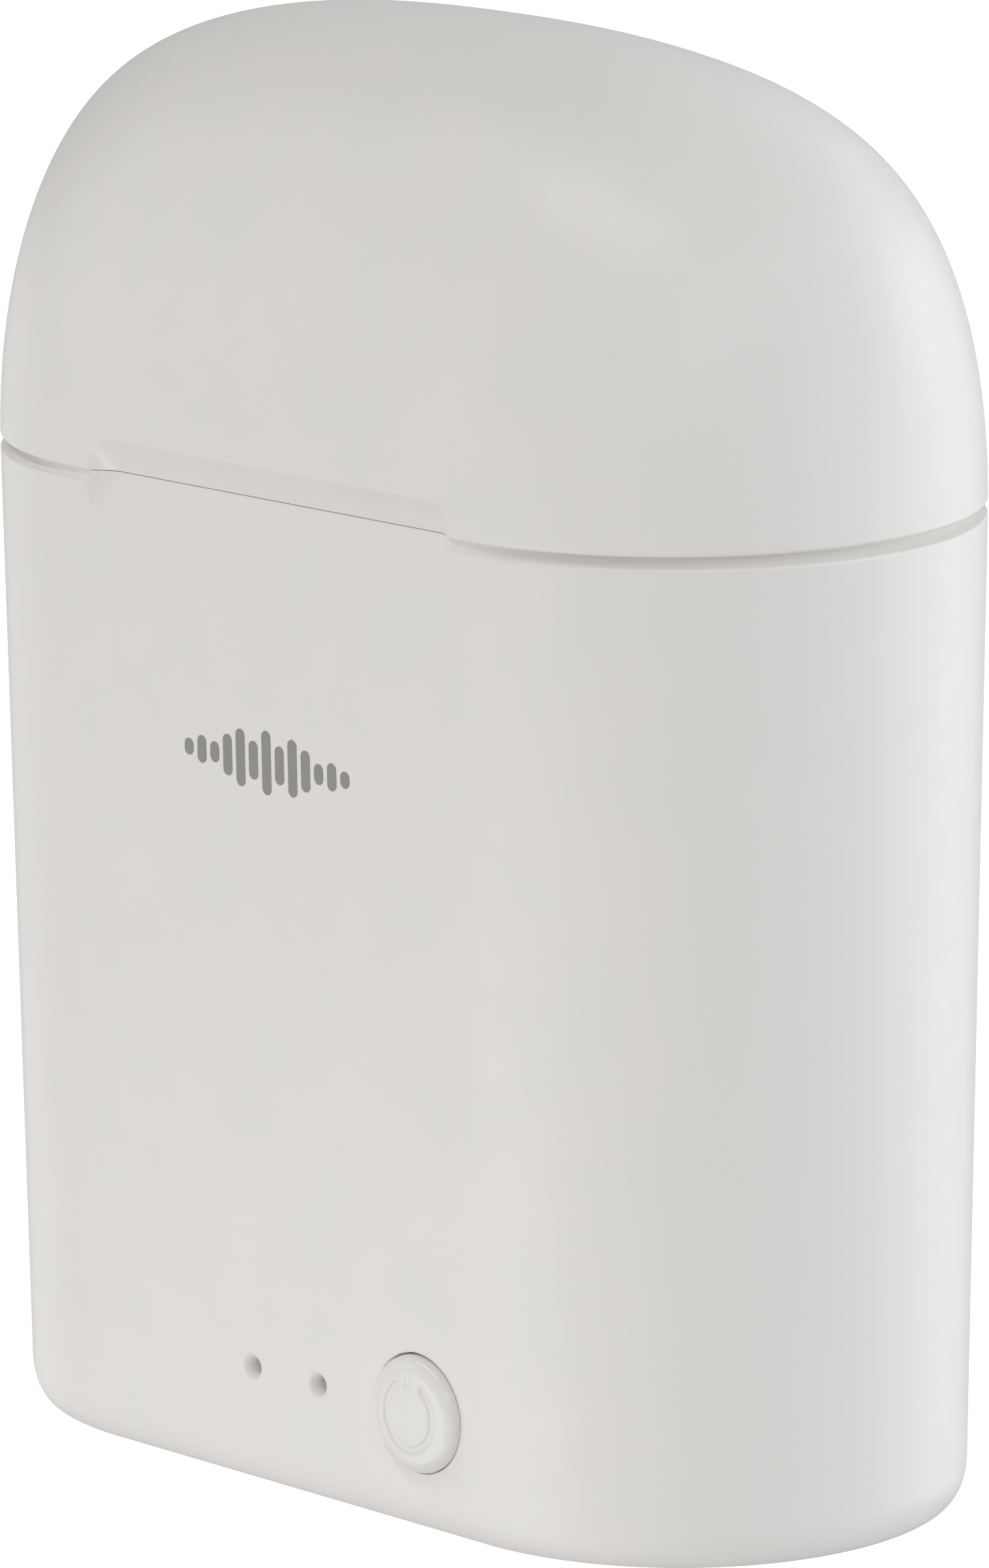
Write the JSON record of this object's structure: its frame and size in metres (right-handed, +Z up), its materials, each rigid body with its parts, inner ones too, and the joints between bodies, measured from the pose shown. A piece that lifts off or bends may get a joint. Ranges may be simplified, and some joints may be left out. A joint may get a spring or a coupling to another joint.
{
  "type": "wireless earbuds case",
  "caption": "Flat-sided pocket charging case for stem-type wireless earbuds, with a domed hinged lid, thumb notch, status lights and a round power key.",
  "frame": {"origin": "centre of the bottom face", "axes": "+Z up, front with the power key towards -Y, +X to the right seen from the front, lid hinge along X at the rear of the seam"},
  "size_m": [0.046, 0.0242, 0.0586],
  "materials": {
    "white_shell": "satin white moulded ABS with a very fine spark texture",
    "white_inner": "satin white moulded ABS, slightly duller than the outside",
    "key_gloss": "polished white ABS with a satin centre and an engraved symbol",
    "light_guide": "milky light-guide plastic",
    "pin_steel": "drawn steel wire and screws",
    "contact_gold": "gold-plated turned brass",
    "port_metal": "nickel-plated deep-drawn steel",
    "magnet_nickel": "nickel-plated magnet",
    "board_green": "glass-fibre board with green solder resist",
    "black_moulding": "black moulded plastic",
    "ferrite": "dark sintered ferrite",
    "chip_resin": "light-emitting chip package with a yellowish resin face",
    "ribbon_film": "amber polyimide film",
    "pouch_foil": "laminated aluminium pouch",
    "tape": "black double-sided tape",
    "lead_red": "red insulation",
    "lead_black": "black insulation"
  },
  "bodies": {
    "base": {"base_shell": "white_shell", "cradle_tray": "white_inner", "hinge_bracket_base": "white_inner", "hinge_pin": "pin_steel", "switch_body": "black_moulding", "main_board": "board_green", "controller_chip": "black_moulding", "power_inductor": "ferrite", "contact_board": "board_green", "board_ribbon": "ribbon_film", "charge_port_shell": "port_metal", "charge_port_tongue": "black_moulding", "battery_pouch": "pouch_foil", "battery_tape": "tape", "battery_lead_red": "lead_red", "battery_lead_black": "lead_black", "light_pipe_left": "light_guide", "light_chip_left": "chip_resin", "board_screw_left": "pin_steel", "well_magnet_left": "magnet_nickel", "light_pipe_right": "light_guide", "light_chip_right": "chip_resin", "board_screw_right": "pin_steel", "well_magnet_right": "magnet_nickel", "contact_barrel_1": "contact_gold", "contact_barrel_2": "contact_gold", "contact_barrel_3": "contact_gold", "contact_barrel_4": "contact_gold", "contact_spring_1": "pin_steel", "contact_spring_2": "pin_steel", "contact_spring_3": "pin_steel", "contact_spring_4": "pin_steel", "closing_magnet_base": "magnet_nickel"},
    "lid": {"lid_shell": "white_shell", "lid_liner": "white_inner", "hinge_bracket_lid": "white_inner", "closing_magnet_lid": "magnet_nickel"},
    "power_key": {"power_key": "key_gloss"},
    "switch_plunger": {"switch_plunger": "black_moulding"},
    "contact_pin_1": {"contact_pin_1": "contact_gold"},
    "contact_pin_2": {"contact_pin_2": "contact_gold"},
    "contact_pin_3": {"contact_pin_3": "contact_gold"},
    "contact_pin_4": {"contact_pin_4": "contact_gold"}
  },
  "joints": [
    {"name": "lid_hinge", "type": "hinge", "parent": "base", "child": "lid", "pos_m": [0, 0.0109, 0.04015], "axis": [-1, 0, 0], "range_deg": [0, 95]},
    {"name": "power_key_press", "type": "slide", "parent": "base", "child": "power_key", "axis": [0, 1, 0], "range_m": [0, 0.0004], "stiffness_N_per_m": 2500, "springref_m": -0.0003},
    {"name": "switch_plunger_press", "type": "slide", "parent": "base", "child": "switch_plunger", "axis": [0, 1, 0], "range_m": [0, 0.0004]},
    {"name": "contact_pin_1_press", "type": "slide", "parent": "base", "child": "contact_pin_1", "axis": [0, 0, -1], "range_m": [0, 0.0008], "stiffness_N_per_m": 600, "springref_m": -0.0004, "deforming": ["contact_spring_1"]},
    {"name": "contact_pin_2_press", "type": "slide", "parent": "base", "child": "contact_pin_2", "axis": [0, 0, -1], "range_m": [0, 0.0008], "stiffness_N_per_m": 600, "springref_m": -0.0004, "deforming": ["contact_spring_2"]},
    {"name": "contact_pin_3_press", "type": "slide", "parent": "base", "child": "contact_pin_3", "axis": [0, 0, -1], "range_m": [0, 0.0008], "stiffness_N_per_m": 600, "springref_m": -0.0004, "deforming": ["contact_spring_3"]},
    {"name": "contact_pin_4_press", "type": "slide", "parent": "base", "child": "contact_pin_4", "axis": [0, 0, -1], "range_m": [0, 0.0008], "stiffness_N_per_m": 600, "springref_m": -0.0004, "deforming": ["contact_spring_4"]}
  ],
  "couplings": [
    {"joint": "switch_plunger_press", "follows": "power_key_press", "ratio": 1}
  ]
}
